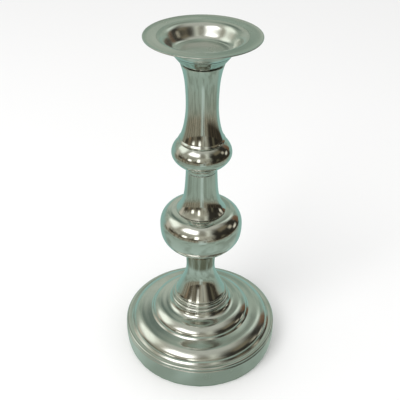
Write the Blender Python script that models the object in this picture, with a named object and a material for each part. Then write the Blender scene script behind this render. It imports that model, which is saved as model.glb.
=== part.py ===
"""Altar candlestick, 12 inch: a stack of turned, silver-plated brass pieces on one
M8 steel tie rod, with a drip pan that unscrews from the rod's top end.

Metres, +Z up, origin at the centre of the underside. Every turned piece is a closed
(radius, height) section spun about Z. Stations are in millimetres.
"""

import math

import bmesh
import bpy

# ---- driving dimensions, millimetres ----
SEGMENTS = 32            # facets round every turned piece
GAP = 0.3                # clearance between pieces that meet

BASE_WALL_R = 71.2       # widest radius of the base wall
RIM_BOTTOM = 1.2         # metal rim above the felt
RIM_TOP = 20.45          # joint between the upright rim and the stepped cover
CROWN_Z = 49.9           # flat crown of the base shell
SPOOL_FOOT_Z = 57.6      # foot of the lower neck
SPOOL_TOP_Z = 102.0
BULB_BOTTOM_Z = 102.3
BULB_TOP_Z = 150.0
BULB_R = 35.8
MID_FOOT_Z = 150.3       # middle neck
MID_TOP_Z = 189.4
MID_FOOT_R = 21.2
MID_WAIST_R = 13.1
COLLAR_Z = (189.7, 194.3)
KNOP_Z = (194.6, 217.2)
NECK_FOOT_Z = 217.5      # upper neck
NECK_TOP_Z = 283.0
CAP_RING_Z = (283.3, 284.7)
CUP_BOTTOM_Z = 285.0
CUP_TOP_Z = 291.3        # joint between the capital and the candle cup
WELL_FLOOR_Z = 292.6
PAN_RIM_R = 44.9
RIM_Z = 305.0            # top of the pan's rim, the 12 inch height
LEDGE_Z = 302.9          # ledge inside the brim that carries the candle cup

ROD_R = 4.0              # M8
ROD_Z = (29.5, 289.6)
ROD_HOLE_R = 4.5
THREAD_BORE_R = 4.2
BOSS_Z = (279.3, 291.3)
BOSS_R = 7.0
NUT_FLATS = 13.0         # across flats
NUT_HEIGHT = 6.5
RECESS_R = 9.2           # pocket for the top nut
RECESS_FLOOR_Z = 269.3


def clear_scene():
    for obj in list(bpy.data.objects):
        bpy.data.objects.remove(obj, do_unlink=True)


def finish(name, rgb, roughness, metallic):
    mat = bpy.data.materials.new(name)
    mat.use_nodes = True
    shader = mat.node_tree.nodes["Principled BSDF"]
    shader.inputs["Base Color"].default_value = (*rgb, 1)
    shader.inputs["Roughness"].default_value = roughness
    shader.inputs["Metallic"].default_value = metallic
    return mat


# ---- section helpers ----
def smooth(stations, steps=2):
    """Catmull-Rom curve through (r, z) stations, with steps spans between each pair."""
    pts = [(2 * stations[0][0] - stations[1][0], 2 * stations[0][1] - stations[1][1])]
    pts += list(stations)
    pts += [(2 * stations[-1][0] - stations[-2][0], 2 * stations[-1][1] - stations[-2][1])]
    out = []
    for a, b, c, d in zip(pts, pts[1:], pts[2:], pts[3:]):
        for i in range(steps):
            t = i / steps
            out.append(tuple(
                0.5 * (2 * q + (r - p) * t + (2 * p - 5 * q + 4 * r - s) * t * t
                       + (3 * q - p - 3 * r + s) * t ** 3)
                for p, q, r, s in zip(a, b, c, d)))
    out.append(stations[-1])
    return out


def offset(points, by):
    """The open curve moved sideways by a distance, to the right of its direction."""
    out = []
    for i, (r, z) in enumerate(points):
        before, after = points[max(i - 1, 0)], points[min(i + 1, len(points) - 1)]
        dr, dz = after[0] - before[0], after[1] - before[1]
        length = math.hypot(dr, dz)
        out.append((r + dz / length * by, z - dr / length * by))
    return out


def turned(name, section, mat, segments=SEGMENTS, radius_at=None, sweep=360.0):
    """Solid of revolution of a closed (r, z) section. A section whose two ends lie on
    the axis closes there. radius_at(r, angle) reshapes the outline, as for a hexagon.
    A sweep under 360 leaves a gap with capped ends."""
    mesh = bpy.data.meshes.new(name)
    bm = bmesh.new()
    full = sweep >= 360.0
    on_axis = section[0][0] < 1e-9 and section[-1][0] < 1e-9
    columns = segments if full else segments + 1
    poles = {}
    rings = []
    for column in range(columns):
        angle = math.radians(sweep) * column / segments
        ring = []
        for index, (r, z) in enumerate(section):
            if r < 1e-9:
                if index not in poles:
                    poles[index] = bm.verts.new((0, 0, z / 1000))
                ring.append(poles[index])
                continue
            if radius_at:
                r = radius_at(r, angle)
            ring.append(bm.verts.new(
                (r * math.cos(angle) / 1000, r * math.sin(angle) / 1000, z / 1000)))
        rings.append(ring)
    spans = len(section) - 1 if on_axis else len(section)
    for column in range(segments):
        here = rings[column]
        there = rings[(column + 1) % columns]
        for i in range(spans):
            j = (i + 1) % len(section)
            corners = [here[i], here[j], there[j], there[i]]
            corners = [v for k, v in enumerate(corners) if v not in corners[:k]]
            if len(corners) > 2:
                bm.faces.new(corners)
    if not full:
        bm.faces.new(rings[0])
        bm.faces.new(rings[-1][::-1])
    bmesh.ops.recalc_face_normals(bm, faces=bm.faces)
    bm.to_mesh(mesh)
    bm.free()
    mesh.shade_smooth()
    mesh.set_sharp_from_angle(angle=math.radians(35))
    mesh.materials.append(mat)
    obj = bpy.data.objects.new(name, mesh)
    bpy.context.scene.collection.objects.link(obj)
    return obj


def ring_section(inner, outer, low, high, edge=0.0):
    """Rectangular ring section, with an optional chamfer on its outer edges."""
    if not edge:
        return [(inner, high), (outer, high), (outer, low), (inner, low)]
    return [(inner, high), (outer - edge, high), (outer, high - edge),
            (outer, low + edge), (outer - edge, low), (inner, low)]


def hexagon(flats, bore):
    """Radius of a hexagon's outline at an angle; the bore stays round."""
    def radius(r, angle):
        if r <= bore + 1e-6:
            return r
        within = (angle + math.pi / 6) % (math.pi / 3) - math.pi / 6
        return r / math.cos(within - 0.0) if abs(within) < math.pi / 6 + 1e-9 else r
    return lambda r, angle: radius(r, angle)


def on_base(obj, parent):
    obj.parent = parent
    return obj


def flare(low_z, waist_z, foot_r, waist_r, linear, power, count):
    """A neck that spreads towards its foot: a slight taper plus a power curve."""
    out = []
    for i in range(count + 1):
        s = 1 - i / count
        rise = foot_r - waist_r
        r = waist_r + rise * (linear * s + (1 - linear) * s ** power)
        out.append((r, waist_z - (waist_z - low_z) * s))
    return out


clear_scene()

PLATE = finish("silver_plate", (0.78, 0.79, 0.76), 0.10, 1.0)
BRASS = finish("bare_brass", (0.72, 0.56, 0.27), 0.35, 1.0)
STEEL = finish("zinc_steel", (0.62, 0.63, 0.64), 0.38, 1.0)
FELT = finish("green_felt", (0.07, 0.16, 0.09), 0.95, 0.0)

stand = bpy.data.objects.new("candlestick", None)
bpy.context.scene.collection.objects.link(stand)
pan_axis = bpy.data.objects.new("pan_axis", None)
pan_axis.parent = stand
bpy.context.scene.collection.objects.link(pan_axis)

# ---- candle cup: a bowl with a flat floor whose wall rolls out into the brim ----
bowl = [(34.4, 304.6), (32.6, 304.25), (30.5, 303.2), (28.6, 301.6), (27.0, 299.4),
        (25.6, 297.2), (24.0, 295.0), (22.2, 293.5), (20.4, 292.8), (18.5, WELL_FLOOR_Z)]
under_bowl = smooth([(23.2, CUP_TOP_Z + GAP), (24.1, 292.4), (25.2, 293.6), (26.1, 295.1),
                     (27.0, 296.8), (28.1, 298.6), (29.6, 300.6), (31.2, 302.1)], 1)
candle_cup = turned("candle_cup",
                    [(0, CUP_TOP_Z + GAP)] + under_bowl
                    + [(33.0, LEDGE_Z + GAP), (34.4, LEDGE_Z + GAP)] + bowl
                    + [(0, WELL_FLOOR_Z)], PLATE)
on_base(candle_cup, pan_axis)

# ---- drip pan: a flat brim with a thin raised rim; the candle cup sits in its ledge ----
brim = smooth([(34.75, 304.55), (37.6, 304.4), (41.0, 304.4), (43.4, 304.7)], 1)
drip_pan = turned("drip_pan",
                  brim + [(44.3, RIM_Z), (44.75, 304.9), (PAN_RIM_R, 304.55), (44.6, 304.1),
                          (41.0, 303.5), (36.2, 303.2), (35.2, LEDGE_Z - 0.9),
                          (33.4, LEDGE_Z - 0.9), (33.4, LEDGE_Z), (34.75, LEDGE_Z)], PLATE)
on_base(drip_pan, pan_axis)

# ---- pan cup: the spreading capital soldered under the candle cup ----
cup_outer = smooth([(23.0, CUP_TOP_Z), (22.0, 290.1), (21.2, 289.0), (20.4, 288.0),
                    (19.6, 287.0), (18.8, 286.0), (18.1, 285.25)], 1) + [(17.6, CUP_BOTTOM_Z)]
pan_cup = turned("pan_cup", cup_outer + [(7.6, CUP_BOTTOM_Z), (7.6, CUP_TOP_Z)], PLATE)
on_base(pan_cup, pan_axis)

# ---- threaded boss under the well floor ----
pan_boss = turned("pan_boss", ring_section(THREAD_BORE_R, BOSS_R, *BOSS_Z, edge=0.6), BRASS,
                  segments=24)
on_base(pan_boss, pan_axis)

# ---- thin ring between the neck and the pan ----
cap_ring = turned("pan_collar",
                  [(9.6, CAP_RING_Z[1]), (15.7, CAP_RING_Z[1]), (16.2, 284.0),
                   (15.7, CAP_RING_Z[0]), (9.6, CAP_RING_Z[0])], PLATE)

# ---- upper neck: hollow, waisted, with a pocket for the top nut ----
neck_outer = smooth([(17.1, NECK_TOP_Z - 0.2), (16.1, 279.8), (14.95, 275.0),
                     (13.9, 268.5), (13.25, 260.0), (13.0, 252.0), (13.25, 242.5),
                     (13.95, 236.0), (15.0, 230.0), (16.3, 225.0), (17.8, 220.8)], 1)
foot_lip = [(18.9, 219.2), (19.4, 218.4), (19.0, NECK_FOOT_Z)]
neck_cavity = [(14.6, 220.2), (12.2, 230.0), (11.1, 243.0), (11.1, 261.0), (10.2, 266.5)]
upper_neck = turned("upper_neck",
                    [(16.8, NECK_TOP_Z)] + neck_outer + foot_lip
                    + [(ROD_HOLE_R, NECK_FOOT_Z), (ROD_HOLE_R, 220.2)] + neck_cavity
                    + [(ROD_HOLE_R, 266.5), (ROD_HOLE_R, RECESS_FLOOR_Z),
                       (RECESS_R, RECESS_FLOOR_Z), (RECESS_R, NECK_TOP_Z)], PLATE)

# ---- upper knop: flattened hollow bulb ----
knop_outer = smooth([(18.7, KNOP_Z[1]), (21.4, 214.9), (23.8, 211.4), (25.0, 207.2),
                     (24.6, 203.8), (22.8, 200.7), (19.9, 197.6), (16.6, 195.4),
                     (13.2, KNOP_Z[0])], 1)
knop_cavity = [(11.0, 196.9), (15.6, 197.7), (20.0, 200.8), (22.5, 205.0), (22.2, 209.0),
               (19.8, 213.0), (16.6, 215.0)]
upper_knop = turned("upper_knop",
                    knop_outer + [(ROD_HOLE_R, KNOP_Z[0]), (ROD_HOLE_R, 196.9)] + knop_cavity
                    + [(ROD_HOLE_R, 215.0), (ROD_HOLE_R, KNOP_Z[1])], PLATE)

# ---- collar under the upper knop ----
knop_collar = turned("knop_collar",
                     [(ROD_HOLE_R, COLLAR_Z[1]), (12.9, COLLAR_Z[1]), (13.5, 193.2),
                      (13.6, 191.6), (13.2, COLLAR_Z[0]), (ROD_HOLE_R, COLLAR_Z[0])], PLATE)

# ---- middle neck ----
mid_outer = flare(151.2, MID_TOP_Z, MID_FOOT_R, MID_WAIST_R, 0.24, 5.0, 9)[::-1]
mid_cavity = [(16.6, 152.8), (13.8, 158.5), (12.4, 168.0), (11.4, 180.0), (11.0, 187.0)]
middle_neck = turned("middle_neck",
                     mid_outer + [(20.9, MID_FOOT_Z), (ROD_HOLE_R, MID_FOOT_Z),
                                  (ROD_HOLE_R, 152.8)]
                     + mid_cavity + [(ROD_HOLE_R, 187.0), (ROD_HOLE_R, MID_TOP_Z)], PLATE)

# ---- main knop: the large pear-shaped bulb ----
bulb_outer = smooth([(21.8, BULB_TOP_Z), (27.4, 148.9), (31.2, 146.2), (33.8, 143.0),
                     (35.3, 139.4), (BULB_R, 135.0), (35.6, 129.8), (34.8, 124.6),
                     (32.6, 120.1), (28.6, 115.6), (23.8, 110.9), (18.7, 106.8),
                     (15.0, 104.0), (13.5, BULB_BOTTOM_Z)], 1)
bulb_cavity = [(11.6, 104.9), (17.0, 108.6), (26.4, 116.8), (30.8, 121.8), (33.3, 129.0),
               (33.2, 137.0), (30.2, 143.2), (25.6, 146.4), (19.6, 147.2)]
main_knop = turned("main_knop",
                   bulb_outer + [(ROD_HOLE_R, BULB_BOTTOM_Z), (ROD_HOLE_R, 104.9)]
                   + bulb_cavity + [(ROD_HOLE_R, 147.2), (ROD_HOLE_R, BULB_TOP_Z)], PLATE)

# ---- lower neck: the spool between the bulb and the base ----
spool_outer = smooth([(13.4, SPOOL_TOP_Z), (13.1, 95.5), (12.85, 88.5), (13.2, 83.0),
                      (14.3, 78.0), (16.1, 73.0), (18.5, 67.6), (20.8, 62.6),
                      (22.2, 59.7)], 1)
spool_cavity = [(18.6, 60.2), (15.0, 69.0), (12.0, 77.0), (10.8, 87.0), (11.1, 99.6)]
lower_neck = turned("lower_neck",
                    spool_outer + [(22.9, 58.6), (22.5, SPOOL_FOOT_Z),
                                   (ROD_HOLE_R, SPOOL_FOOT_Z), (ROD_HOLE_R, 60.2)]
                    + spool_cavity + [(ROD_HOLE_R, 99.6), (ROD_HOLE_R, SPOOL_TOP_Z)], PLATE)

# ---- two rings between the spool and the base ----
foot_ring = turned("foot_ring",
                   [(ROD_HOLE_R, 57.3), (24.2, 57.3), (25.0, 56.3), (25.1, 54.6),
                    (24.6, 53.5), (ROD_HOLE_R, 53.5)], PLATE)
base_collar = turned("base_collar",
                     [(ROD_HOLE_R, 53.2), (25.4, 53.2), (26.6, 52.4), (26.9, 51.4),
                      (26.2, 50.2), (ROD_HOLE_R, 50.2)], PLATE)

# ---- base: stepped cover, and the upright rim under its bead, open underneath ----
tier_one = smooth([(26.4, CROWN_Z), (28.0, 46.6), (31.6, 44.7), (36.4, 43.8), (41.4, 41.6),
                   (44.4, 38.8), (45.3, 36.4)], 1)
tier_two = smooth([(46.6, 35.2), (51.0, 34.1), (56.4, 32.9), (61.0, 30.4), (63.8, 27.6),
                   (64.6, 25.4)], 1)
bead = smooth([(66.1, 24.1), (68.9, 24.4), (70.6, 23.8), (71.0, 22.3),
               (70.4, RIM_TOP + GAP)], 1)
cover_inside = [(67.6, RIM_TOP + GAP), (67.2, 21.9), (63.6, 22.6), (63.0, 24.8),
                (62.4, 26.6), (60.0, 29.0), (55.8, 31.3), (50.6, 32.5), (44.4, 33.7),
                (43.2, 37.0), (40.5, 40.15), (35.9, 42.2), (30.8, 43.1), (26.2, 43.8),
                (24.2, 46.9)]
base_shell = turned("base_shell",
                    tier_one + tier_two + bead + cover_inside
                    + [(ROD_HOLE_R, 46.9), (ROD_HOLE_R, CROWN_Z)], PLATE)
base_rim = turned("base_rim",
                  [(70.5, RIM_TOP), (71.1, 19.7), (BASE_WALL_R, 16.0), (71.1, 11.0),
                   (70.6, 5.6), (69.7, RIM_BOTTOM), (62.6, RIM_BOTTOM), (62.6, 3.2),
                   (67.6, 3.4), (68.7, 9.0), (68.7, 18.0), (67.8, RIM_TOP)], PLATE)

# ---- rod and fasteners ----
tie_rod = turned("tie_rod",
                 [(0, ROD_Z[1]), (ROD_R - 0.8, ROD_Z[1]), (ROD_R, ROD_Z[1] - 0.8),
                  (ROD_R, ROD_Z[0] + 0.8), (ROD_R - 0.8, ROD_Z[0]), (0, ROD_Z[0])],
                 STEEL, segments=24)
top_washer = turned("top_washer", ring_section(ROD_HOLE_R, 8.2, 269.6, 271.2), STEEL,
                    segments=24)
top_nut = turned("top_nut",
                 ring_section(THREAD_BORE_R, NUT_FLATS / 2, 271.5, 271.5 + NUT_HEIGHT), STEEL,
                 segments=24, radius_at=hexagon(NUT_FLATS, THREAD_BORE_R))
clamp_plate = turned("clamp_plate", ring_section(ROD_HOLE_R, 22.0, 43.8, 46.6, edge=0.6),
                     STEEL)
base_washer = turned("base_washer", ring_section(ROD_HOLE_R, 8.2, 41.9, 43.5), STEEL,
                     segments=24)
spring_washer = turned("spring_washer", ring_section(ROD_HOLE_R, 6.9, 39.6, 41.6), STEEL,
                       segments=22, sweep=346.0)
base_nut = turned("base_nut",
                  ring_section(THREAD_BORE_R, NUT_FLATS / 2, 39.3 - NUT_HEIGHT, 39.3), STEEL,
                  segments=24, radius_at=hexagon(NUT_FLATS, THREAD_BORE_R))
felt_ring = turned("felt_ring", ring_section(63.2, 69.4, 0.0, 0.9), FELT)

for piece in (cap_ring, upper_neck, upper_knop, knop_collar, middle_neck, main_knop,
              lower_neck, foot_ring, base_collar, base_shell, base_rim, tie_rod, top_washer, top_nut,
              clamp_plate, base_washer, spring_washer, base_nut, felt_ring):
    on_base(piece, stand)
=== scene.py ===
"""Altar candlestick: the looks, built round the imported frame."""

import math

import bmesh
import bpy
import numpy as np
from mathutils import Matrix, Vector


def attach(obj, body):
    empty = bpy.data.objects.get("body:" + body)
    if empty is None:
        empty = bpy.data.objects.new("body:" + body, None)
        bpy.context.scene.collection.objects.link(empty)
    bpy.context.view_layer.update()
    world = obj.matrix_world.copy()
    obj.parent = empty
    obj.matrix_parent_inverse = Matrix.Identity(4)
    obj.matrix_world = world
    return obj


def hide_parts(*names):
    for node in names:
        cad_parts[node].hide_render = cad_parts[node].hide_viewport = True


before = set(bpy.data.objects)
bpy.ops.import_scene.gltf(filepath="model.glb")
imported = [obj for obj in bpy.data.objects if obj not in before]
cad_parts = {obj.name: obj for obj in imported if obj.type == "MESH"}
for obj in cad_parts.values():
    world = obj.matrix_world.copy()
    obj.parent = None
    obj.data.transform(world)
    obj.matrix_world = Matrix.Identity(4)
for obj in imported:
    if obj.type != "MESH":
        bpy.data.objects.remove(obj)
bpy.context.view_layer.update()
MM = 0.001
SEGMENTS = 192

# ------------------------------------------------------------------ sections
def spline(stations, spacing=0.7, fair=2):
    """Natural cubic through (r, z) stations, resampled evenly and faired, ends kept."""
    p = np.array(stations, float)
    t = np.concatenate([[0], np.cumsum(np.hypot(*np.diff(p, axis=0).T))])
    n = len(p)
    a = np.zeros((n, n))
    b = np.zeros((n, 2))
    a[0, 0] = a[-1, -1] = 1
    for i in range(1, n - 1):
        h0, h1 = t[i] - t[i - 1], t[i + 1] - t[i]
        a[i, i - 1], a[i, i], a[i, i + 1] = h0, 2 * (h0 + h1), h1
        b[i] = 6 * ((p[i + 1] - p[i]) / h1 - (p[i] - p[i - 1]) / h0)
    m = np.linalg.solve(a, b)
    count = max(2, int(round(t[-1] / spacing)))
    out = []
    for s in np.linspace(0, t[-1], count + 1):
        i = min(max(int(np.searchsorted(t, s)) - 1, 0), n - 2)
        h = t[i + 1] - t[i]
        u, v = (t[i + 1] - s) / h, (s - t[i]) / h
        out.append(u * p[i] + v * p[i + 1]
                   + ((u ** 3 - u) * m[i] + (v ** 3 - v) * m[i + 1]) * h * h / 6)
    q = np.array(out)
    for _ in range(fair):
        q[1:-1] = 0.5 * q[1:-1] + 0.25 * (q[:-2] + q[2:])
    return [tuple(x) for x in q]


def offset(points, by):
    out = []
    for i, (r, z) in enumerate(points):
        before, after = points[max(i - 1, 0)], points[min(i + 1, len(points) - 1)]
        dr, dz = after[0] - before[0], after[1] - before[1]
        length = math.hypot(dr, dz)
        out.append((r + dz / length * by, z - dr / length * by))
    return out


def rounded(section, radius=0.3, closed=True, steps=4):
    """The section with every corner over 20 degrees turned into a small fillet."""
    pts = [np.array(p, float) for p in section]
    count = len(pts)
    out = []
    for i, p in enumerate(pts):
        if not closed and i in (0, count - 1):
            out.append(tuple(p))
            continue
        a, b = pts[i - 1] - p, pts[(i + 1) % count] - p
        la, lb = np.linalg.norm(a), np.linalg.norm(b)
        if la < 1e-9 or lb < 1e-9:
            continue
        a, b = a / la, b / lb
        turn = math.pi - math.acos(max(-1, min(1, float(a @ b))))
        if turn < math.radians(20):
            out.append(tuple(p))
            continue
        cut = min(radius * math.tan(turn / 2), 0.45 * la, 0.45 * lb)
        first, last = p + a * cut, p + b * cut
        if la > 6 * cut:
            out.append(tuple(p + a * min(2.2 * cut, 0.5 * la)))
        for k in range(steps + 1):
            s = k / steps
            out.append(tuple((1 - s) ** 2 * first + 2 * s * (1 - s) * p + s * s * last))
        if lb > 6 * cut:
            out.append(tuple(p + b * min(2.2 * cut, 0.5 * lb)))
    return out


def link(obj):
    bpy.context.scene.collection.objects.link(obj)
    return obj


def lathe(name, section, segments=SEGMENTS, radius_at=None):
    """Closed solid of revolution; a section that starts and ends on the axis closes there."""
    bm = bmesh.new()
    on_axis = section[0][0] < 1e-9 and section[-1][0] < 1e-9
    poles, rings = {}, []
    for column in range(segments):
        angle = 2 * math.pi * column / segments
        ring = []
        for index, (r, z) in enumerate(section):
            if r < 1e-9:
                if index not in poles:
                    poles[index] = bm.verts.new((0, 0, z * MM))
                ring.append(poles[index])
                continue
            if radius_at:
                r = radius_at(r, z, angle)
            ring.append(bm.verts.new((r * math.cos(angle) * MM, r * math.sin(angle) * MM,
                                      z * MM)))
        rings.append(ring)
    spans = len(section) - 1 if on_axis else len(section)
    for column in range(segments):
        here, there = rings[column], rings[(column + 1) % segments]
        for i in range(spans):
            j = (i + 1) % len(section)
            corners = [here[i], here[j], there[j], there[i]]
            corners = [v for k, v in enumerate(corners) if v not in corners[:k]]
            if len(corners) > 2:
                bm.faces.new(corners)
    return solid(name, bm)


def solid(name, bm, smooth=True):
    bmesh.ops.recalc_face_normals(bm, faces=bm.faces)
    mesh = bpy.data.meshes.new(name)
    bm.to_mesh(mesh)
    bm.free()
    if smooth:
        mesh.shade_smooth()
    return link(bpy.data.objects.new(name, mesh))


def flare(low_z, waist_z, foot_r, waist_r, linear, power, count):
    out = []
    for i in range(count + 1):
        s = 1 - i / count
        r = waist_r + (foot_r - waist_r) * (linear * s + (1 - linear) * s ** power)
        out.append((r, waist_z - (waist_z - low_z) * s))
    return out


# ------------------------------------------------------------------ turned pieces
HOLE = 4.5
pieces = {}

bowl = spline([(34.4, 304.6), (32.6, 304.25), (30.5, 303.2), (28.6, 301.6), (27.0, 299.4),
               (25.6, 297.2), (24.0, 295.0), (22.2, 293.5), (20.4, 292.8), (18.5, 292.6)],
              0.5, 4)
under_bowl = spline([(23.1, 291.6), (24.1, 292.4), (25.2, 293.6), (26.1, 295.1),
                     (27.0, 296.8), (28.1, 298.6), (29.6, 300.6), (31.2, 302.1),
                     (33.0, 303.2)], 0.5)
pieces["candle_cup"] = lathe("candle_cup_turned", rounded(
    [(0, 291.6), (10, 291.6), (22.6, 291.6), (22.7, 291.36)] + under_bowl + [(34.4, 303.2)]
    + bowl + [(15, 292.6), (10, 292.6), (4, 292.6), (0, 292.6)], 0.05, closed=False), 256)

brim = spline([(34.46, 304.61), (37.6, 304.4), (41.0, 304.4), (43.4, 304.7)], 0.8)
rim = spline([(43.4, 304.7), (44.2, 304.98), (44.7, 304.93), (44.9, 304.55), (44.68, 304.15),
              (44.1, 303.98)], 0.12, 1)
pieces["drip_pan"] = lathe("drip_pan_turned", rounded(
    brim + rim[1:] + [(41.0, 303.5), (38.0, 303.3), (36.2, 303.2), (35.2, 302.0),
                      (33.4, 302.0), (33.4, 302.9), (34.75, 302.9), (34.75, 304.2)], 0.06),
    256)

cup_outer = spline([(23.0, 291.3), (22.0, 290.1), (21.2, 289.0), (20.4, 288.0),
                    (19.6, 287.0), (18.8, 286.0), (18.1, 285.25)], 0.4)
pieces["pan_cup"] = lathe("pan_cup_turned", rounded(
    cup_outer + [(17.6, 285.0), (7.6, 285.0), (7.6, 291.3)], 0.15), 256)

pieces["pan_boss"] = lathe("pan_boss_turned", rounded(
    [(4.2, 291.3), (6.4, 291.3), (7.0, 290.7), (7.0, 279.9), (6.4, 279.3), (4.2, 279.3)], 0.15),
    96)

pieces["pan_collar"] = lathe("pan_collar_turned", rounded(
    [(9.6, 284.7), (15.7, 284.7), (16.2, 284.0), (15.7, 283.3), (9.6, 283.3)], 0.3))

neck_outer = spline([(17.1, 282.8), (16.1, 279.8), (14.95, 275.0), (13.9, 268.5),
                     (13.25, 260.0), (13.0, 252.0), (13.25, 242.5), (13.95, 236.0),
                     (15.0, 230.0), (16.3, 225.0), (17.8, 220.8)], 0.9, 4)
pieces["upper_neck"] = lathe("upper_neck_turned", rounded(
    [(16.8, 283.0)] + neck_outer
    + spline([(17.95, 220.3), (18.9, 219.3), (19.4, 218.4), (19.0, 217.5)], 0.3, 1)
    + [(HOLE, 217.5), (HOLE, 220.2), (14.6, 220.2), (12.2, 230.0), (11.1, 243.0),
       (11.1, 261.0), (10.2, 266.5), (HOLE, 266.5), (HOLE, 269.3), (9.2, 269.3),
       (9.2, 283.0)], 0.25))

knop_outer = spline([(18.7, 217.2), (21.4, 214.9), (23.8, 211.4), (25.0, 207.2),
                     (24.6, 203.8), (22.8, 200.7), (19.9, 197.6), (16.6, 195.4),
                     (13.2, 194.6)], 0.6, 3)
pieces["upper_knop"] = lathe("upper_knop_turned", rounded(
    knop_outer + [(HOLE, 194.6), (HOLE, 196.9), (11.0, 196.9), (15.6, 197.7), (20.0, 200.8),
                  (22.5, 205.0), (22.2, 209.0), (19.8, 213.0), (16.6, 215.0), (HOLE, 215.0),
                  (HOLE, 217.2)], 0.25))

pieces["knop_collar"] = lathe("knop_collar_turned", rounded(
    [(HOLE, 194.3), (12.9, 194.3)] + spline([(12.95, 194.2), (13.5, 193.2), (13.6, 191.6),
                                             (13.25, 189.8)], 0.4, 1)
    + [(HOLE, 189.7)], 0.2))

mid_outer = spline(flare(151.2, 189.4, 21.2, 13.1, 0.24, 5.0, 14)[::-1], 0.8)
pieces["middle_neck"] = lathe("middle_neck_turned", rounded(
    mid_outer + [(21.3, 150.8), (20.9, 150.3), (HOLE, 150.3), (HOLE, 152.8), (16.6, 152.8),
                 (13.8, 158.5), (12.4, 168.0), (11.4, 180.0), (11.0, 187.0), (HOLE, 187.0),
                 (HOLE, 189.4)], 0.3))

bulb_outer = spline([(21.8, 150.0), (27.4, 148.9), (31.2, 146.2), (33.8, 143.0),
                     (35.3, 139.4), (35.8, 135.0), (35.6, 129.8), (34.8, 124.6),
                     (32.6, 120.1), (28.6, 115.6), (23.8, 110.9), (18.7, 106.8),
                     (15.0, 104.0), (13.5, 102.3)], 0.8, 6)
pieces["main_knop"] = lathe("main_knop_turned", rounded(
    bulb_outer + [(HOLE, 102.3), (HOLE, 104.9), (11.6, 104.9), (17.0, 108.6), (26.4, 116.8),
                  (30.8, 121.8), (33.3, 129.0), (33.2, 137.0), (30.2, 143.2), (25.6, 146.4),
                  (19.6, 147.2), (HOLE, 147.2), (HOLE, 150.0)], 0.25), 224)

spool_outer = spline([(13.4, 102.0), (13.1, 95.5), (12.85, 88.5), (13.2, 83.0),
                      (14.3, 78.0), (16.1, 73.0), (18.5, 67.6), (20.8, 62.6),
                      (22.2, 59.7)], 0.8, 4)
pieces["lower_neck"] = lathe("lower_neck_turned", rounded(
    spool_outer + [(22.9, 58.6), (22.5, 57.6), (HOLE, 57.6), (HOLE, 60.2), (18.6, 60.2),
                   (15.0, 69.0), (12.0, 77.0), (10.8, 87.0), (11.1, 99.6), (HOLE, 99.6),
                   (HOLE, 102.0)], 0.3))

pieces["foot_ring"] = lathe("foot_ring_turned", rounded(
    [(HOLE, 57.3), (23.9, 57.3)] + spline([(24.2, 57.25), (25.0, 56.3), (25.1, 54.8),
                                           (24.6, 53.55)], 0.3, 1)
    + [(HOLE, 53.5)], 0.25))
pieces["base_collar"] = lathe("base_collar_turned", rounded(
    [(HOLE, 53.2), (25.2, 53.2)] + spline([(25.5, 53.15), (26.6, 52.5), (26.9, 51.6),
                                           (26.3, 50.3)], 0.3, 1)
    + [(HOLE, 50.2)], 0.25))

tier_one = spline([(26.4, 49.8), (28.0, 46.6), (31.6, 44.7), (36.4, 43.8), (41.4, 41.6),
                   (44.4, 38.8), (45.3, 36.4)], 0.7, 3)
tier_two = spline([(46.6, 35.2), (51.0, 34.1), (56.4, 32.9), (61.0, 30.4), (63.8, 27.6),
                   (64.6, 25.4)], 0.7, 3)
bead = spline([(66.1, 24.1), (68.9, 24.4), (70.6, 23.8), (71.0, 22.3), (70.45, 20.8)], 0.4, 2)
cover_inside = ([(67.6, 20.75), (67.2, 21.9), (63.6, 22.6)]
                + spline([(63.6, 22.6), (63.0, 24.8), (62.4, 26.6), (60.0, 29.0),
                          (55.8, 31.3), (50.6, 32.5), (44.4, 33.7)], 1.2)[1:]
                + spline([(44.4, 33.7), (43.2, 37.0), (40.5, 40.15), (35.9, 42.2),
                          (30.8, 43.1), (26.2, 43.8)], 1.2)[1:] + [(24.2, 46.9)])
pieces["base_shell"] = lathe("base_shell_turned", rounded(
    [(26.1, 49.9)] + tier_one + tier_two + bead + [(70.2, 20.75)] + cover_inside
    + [(HOLE, 46.9), (HOLE, 49.9)], 0.3), 288)
wall = spline([(71.0, 19.85), (71.2, 16.0), (71.1, 11.0), (70.6, 5.6), (69.75, 1.5)], 1.2)
pieces["base_rim"] = lathe("base_rim_turned", rounded(
    [(67.8, 20.45), (70.5, 20.45)] + wall + [(69.3, 1.2), (62.6, 1.2), (62.6, 3.2),
                                            (67.6, 3.4), (68.7, 9.0), (68.7, 18.0)], 0.35), 288)


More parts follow.
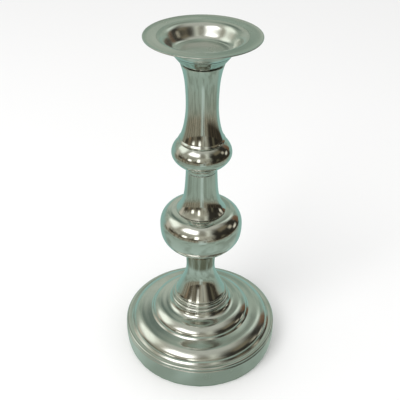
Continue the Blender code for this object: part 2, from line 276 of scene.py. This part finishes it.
# ------------------------------------------------------------------ fasteners
def thread_rod(name, low, high, thread_low, thread_high, radius=4.0, pitch=1.25):
    """M8 studding: helical thread at both ends, plain shank between."""
    bm = bmesh.new()
    around = 48
    heights = []
    z = low
    while z < high - 1e-6:
        heights.append(z)
        threaded = z < thread_low or z > thread_high
        z += pitch / 8 if threaded else max(pitch / 8, min(8.0, thread_high - z + 1e-3))
    heights.append(high)
    rings = []
    for z in heights:
        ring = []
        for k in range(around):
            angle = 2 * math.pi * k / around
            depth = 0.0
            if z <= thread_low or z >= thread_high:
                phase = (z / pitch - k / around) % 1.0
                wave = min(1.0, max(0.0, abs(phase - 0.5) * 2.6 - 0.25))
                fade = min(1.0, abs(thread_low - z) / 1.0 if z <= thread_low
                           else abs(z - thread_high) / 1.0)
                depth = 0.62 * wave * fade
            end = min(z - low, high - z)
            r = min(radius - 0.02 - depth, radius - 0.85 + end)
            ring.append(bm.verts.new((r * math.cos(angle) * MM, r * math.sin(angle) * MM,
                                      z * MM)))
        rings.append(ring)
    for a, b in zip(rings, rings[1:]):
        for k in range(around):
            bm.faces.new([a[k], a[(k + 1) % around], b[(k + 1) % around], b[k]])
    bm.faces.new(rings[0][::-1])
    bm.faces.new(rings[-1])
    obj = solid(name, bm)
    obj.data.set_sharp_from_angle(angle=math.radians(50))
    return obj


pieces["tie_rod"] = thread_rod("tie_rod_m8", 29.5, 289.6, 50.0, 268.0)


def hex_nut(name, low, high, flats=13.0, bore=4.2):
    corner = flats / math.sqrt(3)
    face = flats * 0.475

    def radius_at(r, z, angle):
        if r <= bore + 0.75:
            return r
        within = (angle + math.pi / 6) % (math.pi / 3) - math.pi / 6
        outline = flats / 2 / math.cos(within)
        end = min(z - low, high - z)
        return min(outline, face + end / math.tan(math.radians(30)), corner - 0.12)

    levels = [0, 0.12, 0.25, 0.4, 0.6, 0.8, 1.0]
    side = [(9.0, low + x) for x in levels] + [(9.0, high - x) for x in levels[::-1]]
    section = ([(bore + 0.7, low), (face * 0.9, low)] + side
               + [(face * 0.9, high), (bore + 0.7, high), (bore, high - 0.6),
                  (bore, low + 0.6)])
    obj = lathe(name, section, 144, radius_at)
    obj.data.set_sharp_from_angle(angle=math.radians(24))
    return obj


pieces["top_nut"] = hex_nut("top_nut_m8", 271.5, 278.0)
pieces["base_nut"] = hex_nut("base_nut_m8", 32.8, 39.3)
pieces["top_washer"] = lathe("top_washer_flat", rounded(
    [(HOLE, 271.2), (8.2, 271.2), (8.2, 269.6), (HOLE, 269.6)], 0.2), 96)
pieces["base_washer"] = lathe("base_washer_flat", rounded(
    [(HOLE, 43.5), (8.2, 43.5), (8.2, 41.9), (HOLE, 41.9)], 0.25), 96)
pieces["clamp_plate"] = lathe("clamp_plate_disc", rounded(
    [(HOLE, 46.6), (21.4, 46.6), (22.0, 46.0), (22.0, 44.4), (21.4, 43.8), (HOLE, 43.8)],
    0.25), 128)


def split_washer(name, low, high, inner, outer, gap=14.0, lift=0.35):
    """Flattened spring washer: one turn of square wire with a slanted split."""
    bm = bmesh.new()
    steps = 90
    rings = []
    section = rounded([(inner, high), (outer, high), (outer, low), (inner, low)], 0.2)
    middle = (inner + outer) / 2
    for k in range(steps + 1):
        share = k / steps
        base = math.radians(gap / 2 + (360 - gap) * share)
        ring = []
        for r, z in section:
            slant = math.radians(7) * ((z - low) / (high - low) - 0.5)
            angle = base + slant + math.pi * 1.3
            z2 = z + lift * (share - 0.5) * 0.5
            ring.append(bm.verts.new((r * math.cos(angle) * MM, r * math.sin(angle) * MM,
                                      z2 * MM)))
        rings.append(ring)
    count = len(section)
    for a, b in zip(rings, rings[1:]):
        for i in range(count):
            j = (i + 1) % count
            bm.faces.new([a[i], a[j], b[j], b[i]])
    bm.faces.new(rings[0])
    bm.faces.new(rings[-1][::-1])
    obj = solid(name, bm)
    obj.data.set_sharp_from_angle(angle=math.radians(50))
    return obj


pieces["spring_washer"] = split_washer("spring_washer_split", 39.7, 41.5, HOLE, 6.9)


def felt(name):
    """Die-cut felt ring: soft edges, its inner and outer rims slightly wavy."""
    rng = np.random.default_rng(7)
    wave = rng.uniform(0, 2 * math.pi, 24)

    def radius_at(r, z, angle):
        fuzz = sum(math.sin(angle * k + wave[k % 24]) for k in (5, 9, 14, 23, 37, 61)) * 0.05
        return r + (fuzz if r > 68.5 else -fuzz if r < 64 else 0)

    section = rounded([(63.3, 0.88), (69.2, 0.88), (69.35, 0.45), (69.2, 0.0), (66, 0.0),
                       (63.3, 0.0), (63.15, 0.45)], 0.3)
    return lathe(name, section, 288, radius_at)


pieces["felt_ring"] = felt("felt_ring_cut")

# ------------------------------------------------------------------ ride, replace, slots
PAN = {"drip_pan", "candle_cup", "pan_cup"}
SLOTS = {"pan_boss": "brass", "tie_rod": "steel", "top_nut": "steel", "base_nut": "steel",
         "top_washer": "steel", "base_washer": "steel", "clamp_plate": "steel",
         "spring_washer": "steel", "felt_ring": "felt"}
for node, piece in pieces.items():
    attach(piece, "pan" if node in PAN else "pan_thread" if node == "pan_boss" else "stem")
    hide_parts(node)


# ------------------------------------------------------------------ materials
class Nodes:
    """Small helper round a node tree."""

    def __init__(self, tree):
        self.tree = tree

    def add(self, kind, **settings):
        node = self.tree.nodes.new(kind)
        for key, value in settings.items():
            setattr(node, key, value)
        return node

    def link(self, a, b):
        self.tree.links.new(a, b)

    def math(self, operation, a, b=None, c=None, clamp=False):
        node = self.add("ShaderNodeMath", operation=operation, use_clamp=clamp)
        for slot, value in enumerate((a, b, c)):
            if value is None:
                continue
            if isinstance(value, (int, float)):
                node.inputs[slot].default_value = value
            else:
                self.link(value, node.inputs[slot])
        return node.outputs[0]

    def noise(self, vector, scale, detail=3.0, rough=0.5):
        node = self.add("ShaderNodeTexNoise")
        node.inputs["Scale"].default_value = scale
        node.inputs["Detail"].default_value = detail
        node.inputs["Roughness"].default_value = rough
        self.link(vector, node.inputs["Vector"])
        return node.outputs["Fac"]

    def ramp(self, value, low, high, to_low=0.0, to_high=1.0):
        node = self.add("ShaderNodeMapRange", interpolation_type="SMOOTHSTEP")
        for name, number in (("From Min", low), ("From Max", high), ("To Min", to_low),
                             ("To Max", to_high)):
            node.inputs[name].default_value = number
        self.link(value, node.inputs["Value"])
        return node.outputs["Result"]

    def mix(self, factor, a, b):
        node = self.add("ShaderNodeMix", data_type="RGBA")
        self.link(factor, node.inputs[0])
        for slot, value in ((6, a), (7, b)):
            if isinstance(value, tuple):
                node.inputs[slot].default_value = (*value, 1)
            else:
                self.link(value, node.inputs[slot])
        return node.outputs[2]

    def bump(self, height, strength, distance, normal=None):
        node = self.add("ShaderNodeBump")
        node.inputs["Strength"].default_value = strength
        node.inputs["Distance"].default_value = distance
        self.link(height, node.inputs["Height"])
        if normal is not None:
            self.link(normal, node.inputs["Normal"])
        return node.outputs["Normal"]


def material(name):
    mat = bpy.data.materials.new(name)
    mat.use_nodes = True
    nodes = Nodes(mat.node_tree)
    shader = mat.node_tree.nodes["Principled BSDF"]
    coords = nodes.add("ShaderNodeTexCoord").outputs["Object"]
    return mat, nodes, shader, coords


def polished_plate(name, rough=0.10, lines=0.25, wave=0.25):
    """Silver plate polished on the lathe: faint rings, smears, painted shade under the bulb and
    the pan.
    """
    mat, n, shader, coords = material(name)
    parts = n.add("ShaderNodeSeparateXYZ")
    n.link(coords, parts.inputs[0])
    x, y, z = parts.outputs
    r = n.math("SQRT", n.math("ADD", n.math("MULTIPLY", x, x), n.math("MULTIPLY", y, y)))
    turned = n.add("ShaderNodeCombineXYZ")
    n.link(r, turned.inputs[0])
    n.link(z, turned.inputs[1])
    rings = n.noise(turned.outputs[0], 2600, 2.0)
    broad = n.noise(turned.outputs[0], 420, 2.0)
    smear = n.noise(coords, 34, 4.0, 0.6)
    cloud = n.noise(coords, 11, 3.0)
    speck = n.noise(coords, 900, 2.0)
    shader.inputs["Metallic"].default_value = 1.0
    tint = n.mix(n.ramp(cloud, 0.35, 0.65), (0.82, 0.825, 0.80), (0.73, 0.745, 0.715))
    tarnish = n.math("MULTIPLY", n.ramp(smear, 0.50, 0.78), 0.45)
    tarnish_and_painted_shade = n.mix(tarnish, tint, (0.60, 0.585, 0.51))
    # Painted shade and dark reflection: brown streaked bands under the bulb and under the pan.
    drawn = n.add("ShaderNodeCombineXYZ")
    n.link(x, drawn.inputs[0])
    n.link(y, drawn.inputs[1])
    n.link(n.math("MULTIPLY", z, 0.12), drawn.inputs[2])
    streak = n.ramp(n.noise(drawn.outputs[0], 260, 3.0, 0.6), 0.38, 0.62, 0.45, 1.0)
    for low, full, top, end, most in ((0.0865, 0.0915, 0.1015, 0.1045, 1.0),
                                      (0.2835, 0.2855, 0.2895, 0.2915, 0.60)):
        band = n.math("MULTIPLY", n.ramp(z, low, full), n.ramp(z, top, end, 1.0, 0.0))
        # Each band mixes in the painted shade colour (0.33, 0.30, 0.235).
        tarnish_and_painted_shade = n.mix(n.math("MULTIPLY", n.math("MULTIPLY", band, streak), most), tarnish_and_painted_shade,
                       (0.33, 0.30, 0.235))
    n.link(tarnish_and_painted_shade, shader.inputs["Base Color"])
    roughness = n.math("ADD", n.ramp(smear, 0.35, 0.75, rough * 0.75, rough * 1.5),
                       n.math("MULTIPLY", n.ramp(speck, 0.6, 0.8), 0.05))
    n.link(n.math("ADD", roughness, n.math("MULTIPLY", broad, 0.03)),
           shader.inputs["Roughness"])
    height = n.math("ADD", n.math("MULTIPLY", rings, 0.35), n.math("MULTIPLY", broad, 0.65))
    fine = n.bump(height, lines, 0.00002)
    n.link(n.bump(cloud, wave, 0.0004, fine), shader.inputs["Normal"])
    return mat


def zinc_steel():
    mat, n, shader, coords = material("zinc_plated_steel")
    grain = n.noise(coords, 700, 3.0)
    patch = n.noise(coords, 60, 3.0)
    shader.inputs["Metallic"].default_value = 1.0
    n.link(n.mix(n.ramp(patch, 0.35, 0.7), (0.60, 0.62, 0.64), (0.50, 0.50, 0.47)),
           shader.inputs["Base Color"])
    n.link(n.ramp(grain, 0.3, 0.7, 0.28, 0.46), shader.inputs["Roughness"])
    n.link(n.bump(grain, 0.3, 0.00004), shader.inputs["Normal"])
    return mat


def turned_brass():
    mat, n, shader, coords = material("turned_brass")
    parts = n.add("ShaderNodeSeparateXYZ")
    n.link(coords, parts.inputs[0])
    line = n.add("ShaderNodeCombineXYZ")
    n.link(parts.outputs[2], line.inputs[2])
    marks = n.noise(line.outputs[0], 3000, 2.0)
    patch = n.noise(coords, 90, 3.0)
    shader.inputs["Metallic"].default_value = 1.0
    n.link(n.mix(n.ramp(patch, 0.35, 0.7), (0.74, 0.57, 0.28), (0.58, 0.42, 0.20)),
           shader.inputs["Base Color"])
    n.link(n.ramp(marks, 0.3, 0.7, 0.24, 0.42), shader.inputs["Roughness"])
    n.link(n.bump(marks, 0.4, 0.00004), shader.inputs["Normal"])
    return mat


def green_felt():
    mat, n, shader, coords = material("green_felt")
    fibre = n.noise(coords, 2200, 4.0, 0.7)
    patch = n.noise(coords, 160, 3.0)
    mixed = n.mix(n.ramp(fibre, 0.3, 0.7), (0.045, 0.115, 0.060), (0.10, 0.22, 0.12))
    n.link(n.mix(n.math("MULTIPLY", n.ramp(patch, 0.5, 0.8), 0.5), mixed, (0.12, 0.19, 0.12)),
           shader.inputs["Base Color"])
    n.link(n.ramp(fibre, 0.2, 0.8, 0.85, 1.0), shader.inputs["Roughness"])
    shader.inputs["Sheen Weight"].default_value = 0.5
    shader.inputs["Sheen Roughness"].default_value = 0.6
    n.link(n.bump(fibre, 0.9, 0.0003), shader.inputs["Normal"])
    return mat


FINISH = {"plate": polished_plate("polished_plate", 0.07, 0.25, 0.35), "steel": zinc_steel(),
          "brass": turned_brass(), "felt": green_felt(),
          "pan": polished_plate("pan_plate", 0.19, 0.35, 0.5),
          "base": polished_plate("base_plate", 0.125, 0.45, 0.8),
          "wall": polished_plate("base_wall_plate", 0.19, 0.3, 0.6)}
COATS = {"candle_cup": "pan", "drip_pan": "pan", "base_shell": "base", "base_rim": "wall"}
for node, piece in pieces.items():
    piece.data.materials.clear()
    piece.data.materials.append(FINISH[COATS.get(node) or SLOTS.get(node, "plate")])
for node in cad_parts.values():
    node.data.materials.clear()
    node.data.materials.append(FINISH[SLOTS.get(node.name, "plate")])

# ------------------------------------------------------------------ stage, light, camera
scene = bpy.context.scene
camera = bpy.data.objects.new("camera", bpy.data.cameras.new("camera"))
link(camera)
camera.data.sensor_width = 36.0
camera.data.lens = 59.26
camera.data.clip_start = 0.01
camera.data.clip_end = 50
yaw = Matrix.Rotation(math.radians(0.134), 4, "Z")
pitch = Matrix.Rotation(math.radians(90 - 34.45), 4, "X")
roll = Matrix.Rotation(math.radians(0.55), 4, "Z")
camera.matrix_world = Matrix.Translation((0, -0.4668, 0.4781)) @ yaw @ pitch @ roll
scene.camera = camera

scene.view_settings.view_transform = "Standard"


def tone(r, g, b, gain=1.0):
    """A display colour, 0 to 255, as linear light."""
    def linear(v):
        v /= 255
        return (v / 12.92 if v <= 0.04045 else ((v + 0.055) / 1.055) ** 2.4) * gain
    return linear(r), linear(g), linear(b)


class Surround:
    """Soft patches painted over direction: azimuth 0 faces the front, + to the right."""

    def __init__(self, nodes, vector):
        self.n = nodes
        parts = nodes.add("ShaderNodeSeparateXYZ")
        nodes.link(vector, parts.inputs[0])
        x, y, z = parts.outputs
        degrees = 180 / math.pi
        self.az = nodes.math("MULTIPLY",
                             nodes.math("ARCTAN2", x, nodes.math("MULTIPLY", y, -1.0)), degrees)
        self.el = nodes.math("MULTIPLY", nodes.math("ARCSINE", z), degrees)
        wobble = nodes.noise(vector, 3.2, 3.0)
        self.wobble = nodes.math("MULTIPLY", nodes.math("SUBTRACT", wobble, 0.5), 1.0)
        self.colour = None

    def span(self, value, low, high, soft):
        n = self.n
        return n.math("MULTIPLY", n.ramp(value, low - soft, low + soft),
                      n.ramp(value, high - soft, high + soft, 1.0, 0.0))

    def patch(self, az, el, colour, soft=(6, 6), share=1.0, wander=0.0):
        n = self.n
        a, e = self.az, self.el
        if wander:
            a = n.math("ADD", a, n.math("MULTIPLY", self.wobble, wander))
            e = n.math("ADD", e, n.math("MULTIPLY", self.wobble, wander))
        factor = n.math("MULTIPLY", self.span(a, *az, soft[0]), self.span(e, *el, soft[1]))
        if share != 1.0:
            factor = n.math("MULTIPLY", factor, share)
        self.colour = n.mix(factor, self.colour, colour)

    def rise(self, low, high, colour):
        self.colour = self.n.mix(self.n.ramp(self.el, low, high), self.colour, colour)


GAIN = 1.13
world = bpy.data.worlds.new("studio")
scene.world = world
world.use_nodes = True
n = Nodes(world.node_tree)
direction = n.add("ShaderNodeTexCoord").outputs["Generated"]
room = Surround(n, direction)
room.colour = n.mix(n.ramp(room.el, -5, 20), tone(150, 146, 130, GAIN), tone(164, 163, 148, GAIN))
mottle = n.noise(direction, 2.1, 4.0, 0.6)
room.colour = n.mix(n.math("MULTIPLY", n.ramp(mottle, 0.42, 0.66), 0.5), room.colour,
                    tone(126, 124, 110, GAIN))
room.rise(40, 75, tone(176, 178, 168, GAIN))
bars = n.add("ShaderNodeCombineXYZ")
n.link(n.math("MULTIPLY", room.az, 0.11), bars.inputs[0])
n.link(n.math("MULTIPLY", room.el, 0.03), bars.inputs[1])
bar = n.noise(bars.outputs[0], 1.0, 4.0, 0.65)
level = n.math("MULTIPLY", n.ramp(room.el, -60, -10), n.ramp(room.el, 8, 30, 1, 0))
room.colour = n.mix(n.math("MULTIPLY", n.math("MULTIPLY", n.ramp(bar, 0.48, 0.58), level), 0.75),
                    room.colour, tone(72, 66, 52, GAIN))
# low furniture in front, to the left
room.patch((-118, 4), (-40, 9), tone(100, 94, 78, GAIN), (8, 6), 0.8, 14)
room.patch((-112, -96), (-30, 22), tone(206, 200, 184, GAIN), (5, 7), 0.6, 10)
room.patch((-92, -74), (-40, 9), tone(52, 47, 38, GAIN), (5, 5), 0.9, 10)
room.patch((-60, -46), (-40, 6), tone(66, 60, 48, GAIN), (4, 5), 0.85, 10)
room.patch((-28, -4), (-40, 5), tone(52, 48, 40, GAIN), (4, 4), 0.9, 10)
room.patch((-72, -61), (-40, 2), tone(136, 108, 80, GAIN), (3, 4), 0.7)
room.patch((6, 24), (-40, 8), tone(176, 180, 168, GAIN), (4, 6), 0.5, 6)
# pale walls behind: sage grey, teal low down
room.patch((-240, -116), (-10, 80), tone(156, 166, 152, GAIN), (9, 10), 0.95)
room.patch((134, 240), (-10, 80), tone(150, 164, 150, GAIN), (6, 10), 0.95)
veil = n.noise(direction, 5.0, 3.0)
rear = n.math("MULTIPLY", n.ramp(n.math("ABSOLUTE", room.az), 118, 140), 0.6)
room.colour = n.mix(n.math("MULTIPLY", n.ramp(veil, 0.46, 0.60), rear), room.colour,
                    tone(108, 128, 116, GAIN))
room.patch((-178, -150), (8, 44), tone(176, 184, 172, GAIN), (10, 10), 0.55, 20)
room.patch((-154, -134), (34, 62), tone(84, 98, 90, GAIN), (8, 8), 0.85, 20)
room.patch((-124, -84), (26, 54), tone(232, 238, 226, 1.5), (9, 8), 0.85, 16)
room.patch((20, 44), (30, 62), tone(216, 220, 206, 1.2), (8, 8), 0.6, 18)
room.patch((-12, 16), (36, 66), tone(104, 102, 90, GAIN), (9, 8), 0.55, 18)
room.patch((144, 168), (40, 64), tone(100, 102, 92, GAIN), (8, 9), 0.7, 24)
room.patch((118, 142), (30, 52), tone(214, 224, 212, 1.4), (8, 8), 0.75, 14)
room.patch((-240, -112), (-60, 4), tone(138, 172, 164, GAIN), (9, 12), 0.95)
room.patch((132, 240), (-60, 4), tone(136, 170, 162, GAIN), (6, 12), 0.95)
# dark block to the right, with a few lights in it
room.patch((34, 124), (-24, 55), tone(34, 31, 25, GAIN), (12, 14), 0.97, 26)
room.patch((60, 96), (34, 52), tone(120, 112, 92, GAIN), (7, 6), 0.8, 14)
room.patch((88, 99), (18, 30), tone(186, 180, 160, GAIN), (4, 4), 0.9, 8)
room.patch((100, 111), (2, 13), tone(220, 216, 198, GAIN), (4, 4), 0.95, 6)
room.patch((56, 66), (-14, 12), tone(96, 92, 74, GAIN), (4, 5), 0.7, 10)
room.patch((120, 133), (-26, 30), tone(104, 76, 54, GAIN), (3, 8), 0.85)
# soft box above left and two small windows
room.patch((-64, -12), (42, 62), tone(255, 254, 250, 2.4), (10, 7), 1.0)
room.patch((-50, -38), (7, 18), tone(246, 246, 234, 2.2), (3, 3), 0.95)
room.patch((-16, -6), (8, 27), tone(248, 248, 236, 2.2), (3, 4), 0.95)
path = n.add("ShaderNodeLightPath")
seen = n.mix(path.outputs["Is Glossy Ray"], (0.86, 0.86, 0.86), room.colour)
background = world.node_tree.nodes["Background"]
n.link(n.mix(path.outputs["Is Camera Ray"], seen, (0.96, 0.96, 0.955)),
       background.inputs["Color"])
background.inputs["Strength"].default_value = 1.0

bm = bmesh.new()
bmesh.ops.create_circle(bm, cap_ends=True, segments=96, radius=6.0)
floor = solid("floor", bm, smooth=False)
floor.location.z = -0.0002
mat, n, shader, coords = material("pale_floor_glowing_in_reflections")
shader.inputs["Base Color"].default_value = (0.93, 0.93, 0.925, 1)
shader.inputs["Roughness"].default_value = 1.0
shader.inputs["Specular IOR Level"].default_value = 0.0
parts = n.add("ShaderNodeSeparateXYZ")
n.link(coords, parts.inputs[0])
x, y = parts.outputs[0], parts.outputs[1]
reach = n.math("SQRT", n.math("ADD", n.math("MULTIPLY", x, x), n.math("MULTIPLY", y, y)))
turn = n.math("MULTIPLY", n.math("ARCTAN2", x, n.math("MULTIPLY", y, -1.0)), 180 / math.pi)
# Painted reflection: a teal cloth with a bright front, a dark block and brown streaks.
painted_reflection_colour = n.mix(n.ramp(reach, 0.08, 0.26), tone(162, 180, 170, GAIN), tone(146, 162, 150, GAIN))
painted_reflection_colour = n.mix(n.ramp(reach, 0.34, 0.8), painted_reflection_colour, tone(146, 140, 122, GAIN))
patchy = n.noise(coords, 7.0, 3.0)
painted_reflection_colour = n.mix(n.math("MULTIPLY", n.ramp(patchy, 0.44, 0.62), 0.55), painted_reflection_colour,
              tone(104, 114, 100, GAIN))
front = n.math("MULTIPLY", n.math("MULTIPLY", n.ramp(turn, -9, -2), n.ramp(turn, 10, 18, 1, 0)),
               n.math("MULTIPLY", n.ramp(reach, 0.26, 0.40), 0.6))
painted_reflection_colour = n.mix(front, painted_reflection_colour, tone(190, 208, 200, GAIN))
behind = n.math("MULTIPLY", n.ramp(n.math("ABSOLUTE", turn), 100, 128), 0.95)
painted_reflection_colour = n.mix(behind, painted_reflection_colour, tone(138, 172, 164, GAIN))
block = n.math("MULTIPLY", n.math("MULTIPLY", n.ramp(turn, 24, 44), n.ramp(turn, 118, 132, 1, 0)),
               n.ramp(reach, 0.62, 1.0))
painted_reflection_colour = n.mix(block, painted_reflection_colour, tone(44, 40, 33, GAIN))
lines = n.add("ShaderNodeCombineXYZ")
n.link(n.math("MULTIPLY", turn, 0.16), lines.inputs[0])
streak = n.noise(lines.outputs[0], 1.0, 3.0, 0.7)
streaks = n.math("MULTIPLY", n.math("MULTIPLY", n.ramp(turn, -118, -100),
                                    n.ramp(turn, 112, 124, 1, 0)),
                 n.math("MULTIPLY", n.ramp(reach, 0.36, 0.8), n.ramp(streak, 0.46, 0.60)))
painted_reflection_colour = n.mix(n.math("MULTIPLY", streaks, 0.85), painted_reflection_colour, tone(78, 70, 55, GAIN))
# The floor glows with this painted reflection to glossy rays only; to the camera it stays pale.
glow = n.add("ShaderNodeEmission")
n.link(painted_reflection_colour, glow.inputs["Color"])
path = n.add("ShaderNodeLightPath")
either = n.add("ShaderNodeMixShader")
n.link(path.outputs["Is Glossy Ray"], either.inputs[0])
n.link(shader.outputs[0], either.inputs[1])
n.link(glow.outputs[0], either.inputs[2])
output = [x for x in mat.node_tree.nodes if x.type == "OUTPUT_MATERIAL"][0]
n.link(either.outputs[0], output.inputs["Surface"])
floor.data.materials.append(mat)


def softbox(name, at, aim, size, watts, colour=(1, 1, 1)):
    data = bpy.data.lights.new(name, "AREA")
    data.shape = "RECTANGLE"
    data.size, data.size_y = size
    data.energy = watts
    data.color = colour
    obj = link(bpy.data.objects.new(name, data))
    obj.location = at
    obj.rotation_euler = (Vector(aim) - Vector(at)).to_track_quat("-Z", "Y").to_euler()
    obj.visible_glossy = False
    return obj


softbox("key", (-0.8, -0.9, 1.5), (0, 0, 0.1), (0.9, 0.9), 14)
